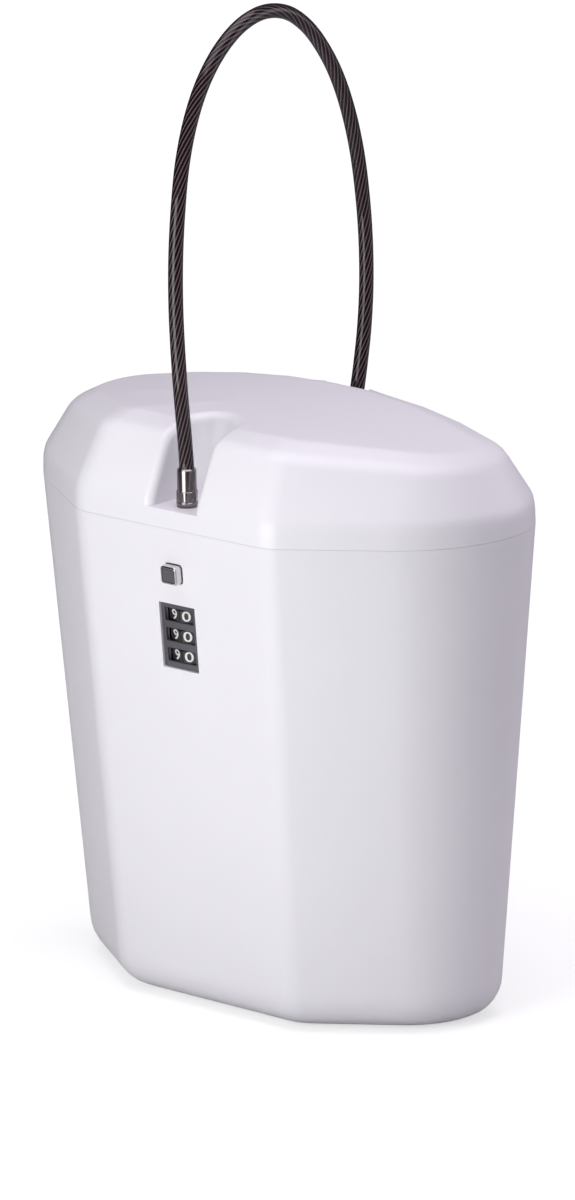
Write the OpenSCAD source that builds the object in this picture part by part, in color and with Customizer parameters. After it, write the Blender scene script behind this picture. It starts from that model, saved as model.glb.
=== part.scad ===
// Portable safe: a moulded case with a bevelled hinged lid, a wire rope loop whose plug drops
// through the lid into the case, and a three dial lock with a push button.
// Millimetres. +Z up, the lock faces -Y, the base stands on Z = 0.
// Plan depths are counted backwards from the front facet at the seam, then shifted to the middle.

/* [Case] */
// Width over the round ends at the seam
body_w = 194; // [186:1:204]
// Depth from the front facet to the back at the seam
body_d = 104; // [101:1:110]
// Height from the base to the seam
body_h = 173; // [150:1:195]
// Width of the front facet between its sharp corners
facet_w = 83; // [78:1:88]
// Angle that each side face turns back from the front facet
side_angle = 34; // [32:1:36]
// Radius of the round ends ahead of the widest point
end_r = 48; // [44:1:52]
// Radius of the round ends behind the widest point
rear_r = 30; // [28:1:32]
// Radius of the two upright front edges
edge_r = 15; // [12:1:18]
// Draft of the case walls
draft = 4.5; // [4:0.25:5]
// Radius of the bottom edge
foot_r = 14; // [11:1:15]
// Wall thickness of case and lid
wall = 3; // [2.6:0.1:3.4]

/* [Lid] */
// Height of the upright band above the seam
band_h = 8; // [7:0.5:9]
// Height of the bevel's upper edge above the seam
bevel_h = 30.5; // [27:0.5:32]
// Setback of the bevel's upper edge
bevel_inset = 10.3; // [8:0.1:13]
// Height of the crown above the seam
lid_h = 34.4; // [33:0.2:38]
// Setback of the top plate's edge
top_inset = 21; // [19:0.5:23]
// Sideways stretch of the top plate
top_stretch = 1.04; // [1:0.01:1.06]
// Rounding of the bevel's lower edge, measured along the faces
low_ease = 3; // [2:0.5:3.5]
// Rounding of the bevel's upper edge, measured along the faces
high_ease = 4; // [3:0.5:5]
// Rounding of the top plate's edge, measured along the faces
top_ease = 1.5; // [1:0.25:2]
// Radius of the crown from side to side
crown_rx = 430; // [380:10:600]
// Radius of the bevel's upper edge from side to side
bevel_rx = 520; // [480:10:600]
// Radius of the crown from front to back
crown_ry = 1000; // [700:50:2000]
// Open seam between case and lid
seam_gap = 0.4; // [0.3:0.1:0.6]
// Width of the cable notches
notch_w = 19; // [17:0.5:21]
// Depth of the front notch at its floor
notch_d = 24; // [22:0.5:26]
// Lean of the front notch's back wall, from its floor to the crown
notch_lean = 6; // [4:0.5:7]
// Depth of the rear notch
rear_notch_d = 18; // [17:0.5:20]
// Height of the notch floors above the seam
notch_floor = 6.4; // [6:0.2:7]
// Thickness of the inner panel that closes the lid
liner_t = 1.8; // [1.4:0.1:2]
// Depth that the seal lip hangs into the case
seal_lip = 2; // [1.5:0.25:3]

/* [Cable] */
// Diameter of the coated wire rope
cable_d = 5; // [4:0.5:6]
// Distance of the plug's axis behind the front facet
plug_back = 8.6; // [8.2:0.1:9]
// Distance of the fixed end's axis ahead of the back
anchor_in = 7.4; // [7.2:0.1:7.8]
// Radius of the crimped collar
collar_r = 3.7; // [3.5:0.1:4.2]
// Height of the crimped collar
collar_h = 5.6; // [5:0.2:6.2]
// Radius of the ferrule's sleeve
sleeve_r = 3.3; // [3.1:0.1:3.5]
// Height of the whole ferrule
ferrule_h = 13.2; // [13.2:0.2:15]
// Radius of the plug's locking pin
plug_r = 1.8; // [1.7:0.05:1.9]
// Radius of the neck that the bolt grips
neck_r = 1; // [0.9:0.05:1.1]

/* [Lock] */
// Width of the push button
button_w = 7; // [6.8:0.1:7.4]
// Height of the push button
button_h = 6.4; // [6.2:0.1:7]
// How far the button stands out
button_out = 3.1; // [3:0.1:4]
// Travel of the button
button_travel = 3; // [2.9:0.05:3.1]
// Distance of the button below the seam
button_drop = 15.4; // [15:0.1:16.5]
// Width of the dial plate
plate_w = 15.6; // [15.2:0.2:16.4]
// Height of the dial plate
plate_h = 23; // [22.8:0.1:24]
// Thickness of the dial plate
plate_t = 1; // [0.9:0.05:1.1]
// Recess of the dial plate below the face
plate_recess = 0.8; // [0.6:0.05:1]
// Distance between the button's and the plate's centres
plate_drop = 22.8; // [22.4:0.1:24]
// Pitch of the dials
dial_pitch = 7.2; // [7.15:0.01:7.25]
// Radius over the ribs of a dial
dial_r = 9; // [8.8:0.05:9.1]
// Thickness of a dial
dial_t = 4.1; // [4:0.05:4.2]
// Digits on a dial
dial_digits = 10; // [8,10,12]
// How far the dials stand out of their plate
dial_proud = 0.2; // [0.1:0.1:0.4]

/* [Hinge] */
// Length of the hinge
hinge_len = 50; // [46:1:56]
// Length of the lid's knuckle
knuckle_len = 21.6; // [18:0.4:24]
// Radius of the hinge barrel
barrel_r = 3.5; // [3.3:0.1:3.8]
// Radius of the hinge pin
pin_r = 1.5; // [1.3:0.1:1.8]
// Thickness of the hinge leaves
leaf_t = 2; // [1.8:0.1:2.2]
// Depth of the leaves' pocket in the back
leaf_in = 2.4; // [2.2:0.1:2.6]
// Depth of the lower leaf below the seam
base_leaf_h = 14; // [12:1:18]

/* [Clearances] */
// Radial clearance of a running fit
run = 0.05; // [0.03:0.01:0.08]
// Clearance around parts that pass each other
free = 0.3; // [0.25:0.05:0.35]
// Clearance of seats that hold a piece still
seat = 0.02; // [0.01:0.01:0.05]

/* [Hidden] */
$fn = 48;
far = 80;

// Plan of the case: facet, side face, round end and back arc, each tangent to the next
edge_steps = 6;
end_steps = 8;
rear_steps = 6;
back_steps = 4;
side_n = [sin(side_angle), -cos(side_angle)];
end_x = body_w / 2 - end_r;
wide_y = ((facet_w / 2 - end_x) * side_n[0] - end_r) / side_n[1];
rear_x = body_w / 2 - rear_r;
rear_q = body_d - rear_r;
back_y = (rear_q ^ 2 - rear_x ^ 2 - wide_y ^ 2) / (2 * (rear_q - wide_y));
back_r = body_d - back_y;
back_a = atan2(wide_y - back_y, rear_x);

function arc(c, r, a0, a1, n, first = 0) =
    [for (i = [first : n]) let (a = a0 + (a1 - a0) * i / n) c + r * [cos(a), sin(a)]];

function half_plan(d) = concat(
    arc([facet_w / 2 - (d + edge_r) * tan(side_angle / 2), d + edge_r], edge_r,
        -90, side_angle - 90, edge_steps),
    arc([end_x, wide_y], end_r - d, side_angle - 90, 0, end_steps),
    arc([rear_x, wide_y], rear_r - d, 0, back_a, rear_steps, 1),
    arc([0, back_y], back_r - d, back_a, 90, back_steps, 1));

// Whole plan inset by d, and cut straight at the back where limit says so
function plan(d, limit = 1000) = let (h = half_plan(d), n = len(h)) [
    for (p = h) [p[0], min(p[1], limit)],
    for (i = [n - 2 : -1 : 0]) [-h[i][0], min(h[i][1], limit)]];

// Lofts
function level(d, z, limit = 1000) = [for (p = plan(d, limit)) [p[0], p[1], z]];

module loft(rings, tip = undef) {
    n = len(rings[0]);
    m = len(rings);
    pts = concat([for (r = rings) for (p = r) p], is_undef(tip) ? [] : [tip]);
    sides = [for (i = [0 : m - 2]) for (j = [0 : n - 1])
        let (k = (j + 1) % n, a = i * n + j, b = a + n, c = i * n + n + k, d = i * n + k)
        each [[a, b, c], [a, c, d]]];
    top = is_undef(tip) ? [[for (j = [n - 1 : -1 : 0]) (m - 1) * n + j]]
        : [for (j = [0 : n - 1]) [(m - 1) * n + j, m * n, (m - 1) * n + (j + 1) % n]];
    polyhedron(points = pts, faces = concat([[for (j = [0 : n - 1]) j]], sides, top), convexity = 6);
}

// Derived places
seam = body_h;
function face_y(z) = (seam - z) * tan(draft);
pad = wall + leaf_in;
back_in = body_d - pad;
leaf_y = body_d - leaf_in;
axis_y = leaf_y + barrel_r + free;
axis_z = seam + seam_gap / 2;
anchor_y = body_d - anchor_in;
lock_z = seam - button_drop;
front_reach = face_y(lock_z) - button_out * cos(draft) - button_h / 2 * sin(draft);
mid_y = (front_reach + axis_y + barrel_r) / 2;
liner_z = seam + 0.8;
liner_top = liner_z + liner_t;
floor_z = seam + notch_floor;

// Lock, in its own frame: x across, y inwards from the outer face, z up along the face
dial_y = plate_recess - dial_proud + dial_r;
function dial_z(i) = -plate_drop + (2 - i) * dial_pitch;
axle_r = 1.5;
hub_r = 2.4;
gate_in = 4.7;
gate_out = 5.6;
dial_bowl_r = dial_r - 1.3;
dial_web = 1.8;
gate_flange = 0.9;
peg = 1.4;
peg_h = 1.8;
peg_in = gate_out + 0.2;
lap = 0.1;
slit = 0.15;
slit_top = 0.45;
plate_side = 1.6;
finger_t = 1.1;
finger_drop = dial_t / 2 + 0.3;
comb_w = 9.2;
comb_t = 1.5;
comb_y = dial_y + dial_r + 0.5;
bolt_h = button_h - 0.4;
bolt_edge_r = 1;
spring_r = 1.55;
spring_wire = 0.5;
spring_bore = spring_r + spring_wire / 2 + free;
spring_y = 11.5;
cover_w = 25;
cover_t = 1.5;
cover_top = 6;
pad_edge = 2.5;
cover_low = -plate_drop - plate_h / 2 - pad_edge - 0.4;
cover_deep = comb_y + comb_t + button_travel + 2.4;
shelf_z = dial_z(1) + dial_t / 2 + 0.6;
post_x = 17;
post_r = 3;
post_y = 6;
post_z = [0, -29];
post_skin = wall - 1;
screw_r = 1.2;
head_r = 2.3;
head_t = 1.5;

module shifted() translate([0, -mid_y, 0]) children();
module lock_frame() shifted() translate([0, face_y(lock_z), lock_z]) rotate([draft, 0, 0]) children();

// A cylinder along y, from y0 to y1
module rod_y(r, y0, y1) translate([0, y0, 0]) rotate([-90, 0, 0]) cylinder(r = r, h = y1 - y0);

// A box centred across x and z, from y0 to y1
module slab_y(w, h, y0, y1) translate([-w / 2, y0, -h / 2]) cube([w, y1 - y0, h]);

// A rounded rectangle, extruded along y
module rounded_y(w, h, r, y0, y1) translate([0, y1, 0]) rotate([90, 0, 0]) linear_extrude(y1 - y0) {
    square([w - 2 * r, h], center = true);
    square([w, h - 2 * r], center = true);
    for (x = [-1, 1]) for (z = [-1, 1]) translate([x * (w / 2 - r), z * (h / 2 - r)]) circle(r = r);
}

module screw_y(y_tip, y_seat) {
    rod_y(screw_r, y_tip, y_seat);
    rod_y(head_r, y_seat, y_seat + head_t);
}

// Case
foot_steps = 8;
function draft_in(z) = (seam - z) * tan(draft);

module case_outside() loft(concat(
    [for (i = [0 : foot_steps]) let (a = 90 - 90 * i / foot_steps)
        level(draft_in(foot_r) + foot_r * (1 - cos(a)), foot_r * (1 - sin(a)))],
    [level(0, seam)]));

module case_inside() {
    r = foot_r - wall;
    loft(concat(
        [for (i = [0 : foot_steps]) let (a = 90 - 90 * i / foot_steps)
            level(draft_in(wall + r) + wall + r * (1 - cos(a)), wall + r * (1 - sin(a)))],
        [level(wall, seam, back_in), level(wall, seam + 1, back_in)]));
}

window_w = plate_w - 1.4;
window_h = plate_h - 1.3;
plate_seat = plate_recess + plate_t;
seat_t = 1.6;
base_screw_x = hinge_len / 2 - 7;
base_screw_z = -base_leaf_h + 5;
leaf_screw_z = 5.4;

module dial_opening() translate([0, 0, -plate_drop]) {
    slab_y(plate_w + 0.2, plate_h + 0.2, -1, plate_seat);
    slab_y(window_w, window_h, 0, plate_seat + seat_t + 1);
}

module posts(r, y0, y1) for (x = [-1, 1]) for (z = post_z) translate([x * post_x, 0, z]) rod_y(r, y0, y1);

module hinge_pocket(z0, z1) translate([-hinge_len / 2 - free, leaf_y, z0])
    cube([hinge_len + 2 * free, far, z1 - z0]);

module hinge_holes(z) for (x = [-1, 1]) translate([x * base_screw_x, 0, z])
    rod_y(screw_r + seat, back_in - 2 * head_t, leaf_y + leaf_t + 1);

// Flat room for the heads where the wall leans inwards
module head_room(z) for (x = [-1, 1]) translate([x * base_screw_x, 0, z])
    rod_y(head_r + free, back_in - 3 * head_t, back_in);

module body_shell() color("#ece9f1") difference() {
    shifted() case_outside();
    difference() {
        shifted() case_inside();
        lock_frame() posts(post_r, 0, post_y);
        lock_frame() translate([0, 0, -plate_drop])
            slab_y(plate_w + 2 * pad_edge, plate_h + 2 * pad_edge, 0, plate_seat + seat_t);
    }
    lock_frame() rounded_y(button_w + 2 * free, button_h + 2 * free, 1.4, -2, wall + 2);
    lock_frame() dial_opening();
    lock_frame() posts(screw_r + seat, post_skin, post_y + 1);
    shifted() hinge_pocket(seam - base_leaf_h - free, seam + 1);
    shifted() hinge_holes(seam + base_screw_z);
    shifted() head_room(seam + base_screw_z);
}

// Lock pieces
module lock_housing() color("#5c5c62") difference() {
    lock_frame() {
        difference() {
            translate([-cover_w / 2 - cover_t, wall, cover_low - cover_t])
                cube([cover_w + 2 * cover_t, cover_deep + cover_t - wall,
                    cover_top - cover_low + 2 * cover_t]);
            translate([-cover_w / 2, wall - 1, cover_low])
                cube([cover_w, cover_deep - wall + 1, cover_top - cover_low]);
        }
        difference() {
            translate([-cover_w / 2 - 0.5, plate_seat + seat_t + 1.4, shelf_z])
                cube([cover_w + 1, cover_deep - plate_seat - seat_t - 1, cover_t]);
            translate([-comb_w / 2 - free, comb_y - free, shelf_z - 1])
                cube([comb_w + 2 * free, comb_t + button_travel + 2 * free, cover_t + 2]);
        }
        translate([0, dial_y, cover_low - 0.5])
            cylinder(r = hub_r + 1, h = dial_z(3) - dial_pitch + dial_t / 2 - cover_low + 0.5);
        for (x = [-1, 1]) for (z = post_z) translate([x * post_x, post_y, z]) {
            rod_y(post_r, 0, 2);
            translate([x > 0 ? cover_w / 2 + cover_t / 2 - post_x : 0, 0, -post_r])
                cube([post_x - cover_w / 2 - cover_t / 2, 2, 2 * post_r]);
        }
    }
    lock_frame() posts(screw_r + seat, post_y - 1, post_y + 3);
    lock_frame() translate([0, dial_y, cover_low - cover_t - 1])
        cylinder(r = axle_r + seat, h = shelf_z - cover_low + 3 * cover_t);
    pin_path(seam - pin_deep - 1, seam, plug_r + 2 * free);
}

// Way that the plug's pin sweeps as the lid lifts it
lift_arm = axis_y - plug_back;
pin_deep = button_drop + 4.2;
pin_swing = pin_deep ^ 2 / 2 / lift_arm;
module pin_path(z0, z1, r) shifted() {
    translate([0, plug_back, z0]) cylinder(r = r, h = z1 - z0);
    translate([0, plug_back - pin_swing, z0]) cylinder(r = r, h = z1 - z0);
    translate([-r, plug_back - pin_swing, z0]) cube([2 * r, pin_swing, z1 - z0]);
}

module housing_screws() color("silver") lock_frame() for (x = [-1, 1]) for (z = post_z)
    translate([x * post_x, 0, z]) screw_y(post_skin + 2 * lap, post_y + 2);

module dial_plate() color("#4b4b52") lock_frame() difference() {
    translate([0, 0, -plate_drop]) rounded_y(plate_w, plate_h, 0.8, plate_recess, plate_seat);
    for (i = [1 : 3]) translate([0, 0, dial_z(i) + (slit_top - slit) / 2])
        slab_y(plate_w - 2 * plate_side, dial_t + slit + slit_top, 0, plate_seat + 1);
}

module dial_axle() color("silver") lock_frame() translate([0, dial_y, cover_low - cover_t])
    cylinder(r = axle_r, h = shelf_z + 2 * cover_t - cover_low);

module click_spring() color("#b9b9bd") lock_frame() {
    strip_x = cover_w / 2;
    reach_x = dial_r + 0.15;
    root_y = dial_y + 4;
    translate([strip_x - 0.6, root_y, dial_z(3) - dial_t / 2])
        cube([0.6, 4, 2 * dial_pitch + dial_t]);
    for (i = [1 : 3]) translate([0, 0, dial_z(i) - 1.4]) {
        translate([reach_x, root_y, 0]) cube([strip_x - reach_x, 0.4, 2.8]);
        translate([reach_x, dial_y - 3, 0]) cube([0.4, 7.4, 2.8]);
    }
}

module dial_wheel(i) color("#3a3a40") lock_frame() translate([0, dial_y, dial_z(i)]) difference() {
    union() {
        rotate(180 / dial_digits) cylinder(r = dial_r - 0.2, h = dial_t, center = true, $fn = dial_digits);
        for (k = [0 : dial_digits - 1]) rotate((k + 0.5) * 360 / dial_digits)
            translate([dial_r - 1.2, -0.35, -dial_t / 2]) cube([1.2, 0.7, dial_t]);
    }
    cylinder(r = hub_r + 1.1, h = dial_t + 2, center = true);
    translate([0, 0, -dial_t / 2 - 1]) cylinder(r = dial_bowl_r, h = dial_t - dial_web + 1);
}
module dial_wheel_1() dial_wheel(1);
module dial_wheel_2() dial_wheel(2);
module dial_wheel_3() dial_wheel(3);

module gate_cup(i) color("#c8a96a") lock_frame() translate([0, dial_y, dial_z(i)]) {
    web_z = dial_t / 2 - dial_web;
    difference() {
        union() {
            translate([0, 0, web_z]) cylinder(r = hub_r + 1.1, h = dial_web);
            translate([0, 0, web_z - gate_flange]) cylinder(r = gate_out, h = gate_flange);
            translate([0, 0, -dial_pitch + dial_t / 2 + 0.1])
                cylinder(r = hub_r, h = dial_pitch - dial_t / 2);
            difference() {
                translate([0, 0, -dial_t / 2]) cylinder(r = gate_out, h = web_z + dial_t / 2);
                translate([0, 0, -dial_t / 2 - 1])
                    cylinder(r = gate_in, h = web_z + dial_t / 2 - gate_flange + 1);
            }
        }
        translate([0, 0, -far / 2]) cylinder(r = axle_r + run, h = far);
        translate([-peg / 2 - free, -gate_out - 1, -dial_t / 2 - 1])
            cube([peg + 2 * free, gate_out - gate_in + 1.6, web_z + dial_t / 2 - gate_flange + 1]);
    }
}
module gate_cup_1() gate_cup(1);
module gate_cup_2() gate_cup(2);
module gate_cup_3() gate_cup(3);

module button_cap() color("#d4d4d8") lock_frame() rounded_y(button_w, button_h, 1.2, -button_out, 0);

// Slots that let the pin pass the bolt at rest, and grip its neck when the bolt is pressed
tine_t = 2;
tine_y = plug_back - plug_r - 1.2;
module keyhole() shifted() translate([0, 0, lock_z]) {
    wide = plug_r + free;
    thin = neck_r + free - 0.1;
    back = plug_back + plug_r + free;
    front = plug_back - plug_r - free - button_travel;
    translate([-wide, tine_y, -far / 2]) cube([2 * wide, back - tine_y, far]);
    for (s = [-1, 1]) translate([-wide, front, s > 0 ? tine_t / 2 : -far - tine_t / 2])
        cube([2 * wide, back - front, far]);
    translate([-thin, plug_back - button_travel - neck_r - free, -far / 2])
        cube([2 * thin, button_travel, far]);
}

module lock_bolt() color("#a9a9ae") difference() {
    lock_frame() rounded_y(button_w, bolt_h, bolt_edge_r, 0, comb_y);
    keyhole();
    lock_frame() rod_y(spring_bore, spring_y, comb_y + 1);
}

module fence_comb() color("#b4b4b8") lock_frame() {
    difference() {
        translate([-comb_w / 2, comb_y, dial_z(3) - finger_drop - finger_t])
            cube([comb_w, comb_t, bolt_h / 2 - dial_z(3) + finger_drop + finger_t]);
        rod_y(spring_bore, comb_y - 1, comb_y + comb_t + 1);
    }
    for (i = [1 : 3]) translate([0, dial_y, dial_z(i) - finger_drop]) {
        difference() {
            translate([-comb_w / 2, -peg_in - peg - 2 * lap, -finger_t])
                cube([comb_w, peg_in + peg + comb_y - dial_y + 3 * lap, finger_t]);
            translate([-hub_r - free, -button_travel - hub_r - free, -finger_t - 1])
                cube([2 * (hub_r + free), button_travel + 2 * (hub_r + free), finger_t + 2]);
        }
        translate([-peg / 2, -peg_in - peg, -lap]) cube([peg, peg, peg_h]);
    }
}

// Button spring: a wound wire between the bolt's bore and the back of the housing
spring_turns = 8;
spring_rings = 8;
spring_sides = 6;
spring_low = spring_y + lap + spring_wire / 2;
spring_len = cover_deep - spring_y - spring_wire - 2 * lap;
function coil_ring(t) = let (a = 360 * t) [for (s = [0 : spring_sides - 1])
    let (b = 360 * s / spring_sides, r = spring_r + spring_wire / 2 * cos(b))
    [r * cos(a), spring_low + spring_len * t / spring_turns + spring_wire / 2 * sin(b), r * sin(a)]];
module button_spring() color("silver") lock_frame()
    loft([for (i = [0 : spring_turns * spring_rings]) coil_ring(i / spring_rings)]);

// Hinge
gap_x = 0.2;
module barrel(x0, x1, bore) translate([x0, axis_y, axis_z]) rotate([0, 90, 0]) difference() {
    cylinder(r = barrel_r, h = x1 - x0);
    translate([0, 0, -1]) cylinder(r = bore, h = x1 - x0 + 2);
}

// Relief round the other leaf's knuckle
module knuckle_room(x0, x1) translate([x0 - gap_x, axis_y, axis_z]) rotate([0, 90, 0])
    cylinder(r = barrel_r + free, h = x1 - x0 + 2 * gap_x);

module web(x0, x1, z0, z1) difference() {
    translate([x0, leaf_y + leaf_t / 2, z0]) cube([x1 - x0, axis_y - leaf_y - leaf_t / 2, z1 - z0]);
    translate([x0 - 1, axis_y, axis_z]) rotate([0, 90, 0]) cylinder(r = barrel_r - 0.5, h = x1 - x0 + 2);
}

side_knuckles = [[-hinge_len / 2, -knuckle_len / 2 - gap_x], [knuckle_len / 2 + gap_x, hinge_len / 2]];

module hinge_base() color("#dedbe4") shifted() {
    difference() {
        translate([-hinge_len / 2, leaf_y, seam - base_leaf_h])
            cube([hinge_len, leaf_t, base_leaf_h - 0.3]);
        knuckle_room(-knuckle_len / 2, knuckle_len / 2);
        hinge_holes(seam + base_screw_z);
        for (k = side_knuckles) translate([k[0] - 1, axis_y, axis_z]) rotate([0, 90, 0])
            cylinder(r = barrel_r - 0.5, h = k[1] - k[0] + 2);
    }
    for (k = side_knuckles) {
        barrel(k[0], k[1], pin_r + seat);
        web(k[0], k[1], axis_z - barrel_r, seam - 0.3);
    }
}

module hinge_leaf() color("#dedbe4") shifted() {
    difference() {
        translate([-hinge_len / 2, leaf_y, seam + seam_gap + 0.3])
            cube([hinge_len, leaf_t, band_h - seam_gap - 0.7]);
        for (k = side_knuckles) knuckle_room(k[0], k[1]);
        hinge_holes(seam + leaf_screw_z);
        rear_slot(0);
        translate([-knuckle_len / 2 - 1, axis_y, axis_z]) rotate([0, 90, 0])
            cylinder(r = barrel_r - 0.5, h = knuckle_len + 2);
    }
    barrel(-knuckle_len / 2, knuckle_len / 2, pin_r + run);
    web(-knuckle_len / 2, knuckle_len / 2, seam + seam_gap + 0.3, axis_z + barrel_r);
}

module hinge_pin() color("silver") shifted() translate([-hinge_len / 2, axis_y, axis_z])
    rotate([0, 90, 0]) cylinder(r = pin_r, h = hinge_len);

module inside_screws(z) for (x = [-1, 1]) translate([x * base_screw_x, 0, z]) {
    rod_y(screw_r, back_in, leaf_y + 1);
    rod_y(head_r, back_in - head_t, back_in);
}
module base_screws() color("silver") shifted() inside_screws(seam + base_screw_z);
module leaf_screws() color("silver") shifted() inside_screws(seam + leaf_screw_z);

// Lid
function top_z(p) = seam + lid_h - p[0] ^ 2 / 2 / crown_rx - (p[1] - body_d / 2) ^ 2 / 2 / crown_ry;
function bevel_z(p) = seam + bevel_h - p[0] ^ 2 / 2 / bevel_rx;
function bevel_ring(d, dz) = [for (p = plan(d)) [p[0], p[1], bevel_z(p) - dz]];
function top_ring(d, dz, s = 1) = [for (p = plan(d))
    let (q = [p[0] * s * top_stretch, body_d / 2 + (p[1] - body_d / 2) * s]) [q[0], q[1], top_z(q) - dz]];
dome = [0.75, 0.5, 0.25];
band_in = 0.2;

// Rounding between rings: shares s and e of the way to the rings before and after are curved
ease_steps = 4;
function between(a, b, t) = [for (i = [0 : len(a) - 1]) a[i] + (b[i] - a[i]) * t];
function eased(before, at, after, s, e) = let (a = between(at, before, s), b = between(at, after, e))
    [for (k = [0 : ease_steps]) let (t = k / ease_steps) between(between(a, at, t), between(at, b, t), t)];

foot_ring = level(0, seam + seam_gap);
band_ring = level(band_in, seam + band_h);
shoulder_ring = bevel_ring(bevel_inset, 0);
rim_ring = top_ring(top_inset, 0);
inner_ring = top_ring(top_inset, 0, dome[0]);
band_len = band_h - seam_gap;
bevel_len = norm([bevel_inset, bevel_h - band_h]);
strip_len = norm([top_inset - bevel_inset, lid_h - bevel_h]);
dome_len = (1 - dome[0]) * (body_d / 2 - top_inset);

module lid_outside() loft(concat(
    [foot_ring],
    eased(foot_ring, band_ring, shoulder_ring, low_ease / band_len, low_ease / bevel_len),
    eased(band_ring, shoulder_ring, rim_ring, high_ease / bevel_len, high_ease / strip_len),
    eased(shoulder_ring, rim_ring, inner_ring, top_ease / strip_len, top_ease / dome_len),
    [for (s = dome) top_ring(top_inset, 0, s)]), [0, body_d / 2, seam + lid_h]);

module lid_inside() loft(concat(
    [level(wall, seam, back_in), level(wall, seam + band_h - 1, back_in),
     bevel_ring(bevel_inset + wall, wall / 2), top_ring(top_inset + wall / 2, wall)],
    [for (s = dome) top_ring(top_inset + wall / 2, wall, s)]), [0, body_d / 2, seam + lid_h - wall]);

// Slots with a round end; grow adds a wall around them
module front_slot(grow) {
    r = notch_w / 2 + grow;
    low = grow > 0 ? liner_top : floor_z;
    high = seam + lid_h + wall;
    hull() {
        translate([-r, -5, low]) cube([2 * r, 1, high - low]);
        for (z = [low, high]) translate([0, notch_d - notch_w / 2 + lean_at(z), z])
            cylinder(r = r, h = lap);
    }
}
function lean_at(z) = notch_lean * (z - floor_z) / (lid_h - notch_floor);

module rear_slot(grow) {
    r = notch_w / 2 + grow;
    y = body_d - rear_notch_d + notch_w / 2;
    z = grow > 0 ? liner_top : floor_z;
    translate([-r, y, z]) cube([2 * r, far, far]);
    translate([0, y, z]) cylinder(r = r, h = far);
}

bush_r = 3.6;
bush_flange_r = 4.6;
bush_flange_t = 0.8;
rivet_r = 2;
rivet_head_r = 2.8;
liner_post = [[-56, 44], [56, 44], [-40, 76], [40, 76]];
liner_post_r = 3.2;
screw_bite = 6;

module lid_shell() color("#efedf3") shifted() difference() {
    lid_outside();
    difference() {
        lid_inside();
        front_slot(wall - 0.5);
        rear_slot(wall - 0.5);
        for (p = liner_post) translate([p[0], p[1], liner_top]) cylinder(r = liner_post_r, h = far);
    }
    front_slot(0);
    rear_slot(0);
    hinge_pocket(seam - 1, seam + band_h - 0.2);
    hinge_holes(seam + leaf_screw_z);
    head_room(seam + leaf_screw_z);
    translate([0, plug_back, seam]) cylinder(r = bush_r + seat, h = far / 2);
    translate([0, plug_back, seam])
        cylinder(r = bush_flange_r + seat, h = liner_top + bush_flange_t - seam);
    translate([0, anchor_y, seam]) cylinder(r = rivet_r + seat, h = far / 2);
    translate([0, anchor_y, seam]) cylinder(r = rivet_head_r + free, h = liner_top - seam);
    for (p = liner_post) translate([p[0], p[1], seam])
        cylinder(r = screw_r + seat, h = liner_top - seam + screw_bite + 1);
}

module lid_liner() color("#d6d3dd") shifted() difference() {
    translate([0, 0, liner_z]) linear_extrude(liner_t) polygon(plan(wall + 0.1, back_in - 0.1));
    translate([0, plug_back, seam]) cylinder(r = plug_r + free, h = far);
    translate([0, anchor_y, seam]) cylinder(r = rivet_head_r + free, h = far);
    for (p = liner_post) translate([p[0], p[1], seam]) cylinder(r = screw_r + 2 * lap, h = far);
}

module liner_screws() color("silver") shifted() for (p = liner_post) translate([p[0], p[1], 0]) {
    translate([0, 0, liner_z]) cylinder(r = screw_r, h = liner_t + screw_bite);
    translate([0, 0, liner_z - head_t]) cylinder(r = head_r, h = head_t);
}

// Lip seal under the edge of the inner panel
seal_in = 0.7;
seal_t = 2;
module lid_seal() color("#2b2b2e") shifted() difference() {
    translate([0, 0, seam - seal_lip]) linear_extrude(liner_z - seam + seal_lip)
        polygon(plan(wall + seal_in, back_in - seal_in));
    translate([0, 0, seam - seal_lip - 1]) linear_extrude(far)
        polygon(plan(wall + seal_in + seal_t, back_in - seal_in - seal_t));
}

// Cable ends
module ferrule() rotate_extrude() polygon([
    [0, 0], [collar_r - 0.6, 0], [collar_r, 0.9], [collar_r, collar_h - 0.4], [sleeve_r, collar_h],
    [sleeve_r, ferrule_h - 0.4], [sleeve_r - 0.4, ferrule_h], [0, ferrule_h]]);
head_socket_r = 2.6;
head_socket_h = 2;

module ended_ferrule(y) shifted() translate([0, y, floor_z]) difference() {
    ferrule();
    translate([0, 0, -1]) cylinder(r = head_socket_r + seat, h = head_socket_h + 1);
}
module plug_ferrule() color("#8f8b8c") ended_ferrule(plug_back);
module rear_ferrule() color("#8f8b8c") ended_ferrule(anchor_y);

module plug_bush() color("#77777c") shifted() translate([0, plug_back, liner_top]) difference() {
    union() {
        cylinder(r = bush_r, h = floor_z - liner_top);
        cylinder(r = bush_flange_r, h = bush_flange_t);
    }
    translate([0, 0, -1]) cylinder(r = plug_r + run, h = far);
}

module plug_pin() color("silver") shifted() translate([0, plug_back, 0]) {
    top = floor_z;
    neck_low = lock_z - tine_t / 2 - 0.4;
    neck_high = lock_z + tine_t / 2 + 0.4;
    tip = seam - pin_deep;
    rotate_extrude() polygon([
        [0, tip], [plug_r - 0.8, tip], [plug_r, tip + 1.2], [plug_r, neck_low], [neck_r, neck_low],
        [neck_r, neck_high], [plug_r, neck_high], [plug_r, top], [head_socket_r, top],
        [head_socket_r, top + head_socket_h], [0, top + head_socket_h]]);
}

module rear_rivet() color("silver") shifted() translate([0, anchor_y, 0]) {
    translate([0, 0, liner_z + 0.1]) cylinder(r = rivet_head_r, h = liner_top - liner_z - 0.1);
    translate([0, 0, liner_top]) cylinder(r = rivet_r, h = floor_z - liner_top);
    translate([0, 0, floor_z]) cylinder(r = head_socket_r, h = head_socket_h);
}

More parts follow.
